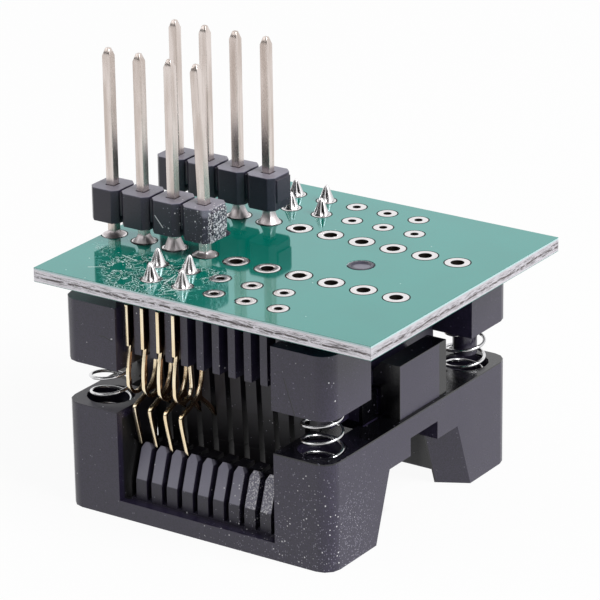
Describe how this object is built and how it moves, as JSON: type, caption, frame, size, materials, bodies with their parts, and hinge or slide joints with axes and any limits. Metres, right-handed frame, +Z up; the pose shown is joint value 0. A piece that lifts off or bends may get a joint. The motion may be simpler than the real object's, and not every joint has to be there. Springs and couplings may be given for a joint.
{
  "type": "ic programming adapter",
  "caption": "Small circuit board with long header pins on top and a sprung open-top test socket beneath, so that a surface-mount chip fits a through-hole programmer.",
  "frame": {"origin": "under the middle of the adapter's outline, on the surface that the cover's rim stands on", "axes": "+X along the socket's rows of contacts, away from the header pins; +Y across the rows, to the back; +Z up, along the pins"},
  "size_m": [0.0273, 0.0236, 0.0304],
  "materials": {
    "board_green": "glossy solder mask",
    "black_plastic": "moulded, satin",
    "pin_silver": "tinned, bright",
    "solder": "satin",
    "gold": "plated, bright",
    "spring_steel": "bright"
  },
  "bodies": {
    "base": {"board": "board_green", "header_insulator_front": "black_plastic", "header_pin_front_1": "pin_silver", "pin_solder_front_1": "solder", "contact_front_1": "gold", "tail_solder_front_1": "solder", "header_pin_front_2": "pin_silver", "pin_solder_front_2": "solder", "contact_front_2": "gold", "tail_solder_front_2": "solder", "header_pin_front_3": "pin_silver", "pin_solder_front_3": "solder", "contact_front_3": "gold", "tail_solder_front_3": "solder", "header_pin_front_4": "pin_silver", "pin_solder_front_4": "solder", "contact_front_4": "gold", "tail_solder_front_4": "solder", "spring_front_left": "spring_steel", "spring_front_right": "spring_steel", "header_insulator_back": "black_plastic", "header_pin_back_1": "pin_silver", "pin_solder_back_1": "solder", "contact_back_1": "gold", "tail_solder_back_1": "solder", "header_pin_back_2": "pin_silver", "pin_solder_back_2": "solder", "contact_back_2": "gold", "tail_solder_back_2": "solder", "header_pin_back_3": "pin_silver", "pin_solder_back_3": "solder", "contact_back_3": "gold", "tail_solder_back_3": "solder", "header_pin_back_4": "pin_silver", "pin_solder_back_4": "solder", "contact_back_4": "gold", "tail_solder_back_4": "solder", "spring_back_left": "spring_steel", "spring_back_right": "spring_steel", "socket_base": "black_plastic"},
    "cover": {"cover": "black_plastic"}
  },
  "joints": [
    {"name": "cover_press", "type": "slide", "parent": "base", "child": "cover", "axis": [0, 0, 1], "range_m": [0, 0.0024], "stiffness_N_per_m": 15, "springref_m": -0.004, "deforming": ["spring_front_left", "spring_front_right", "spring_back_left", "spring_back_right"]}
  ]
}
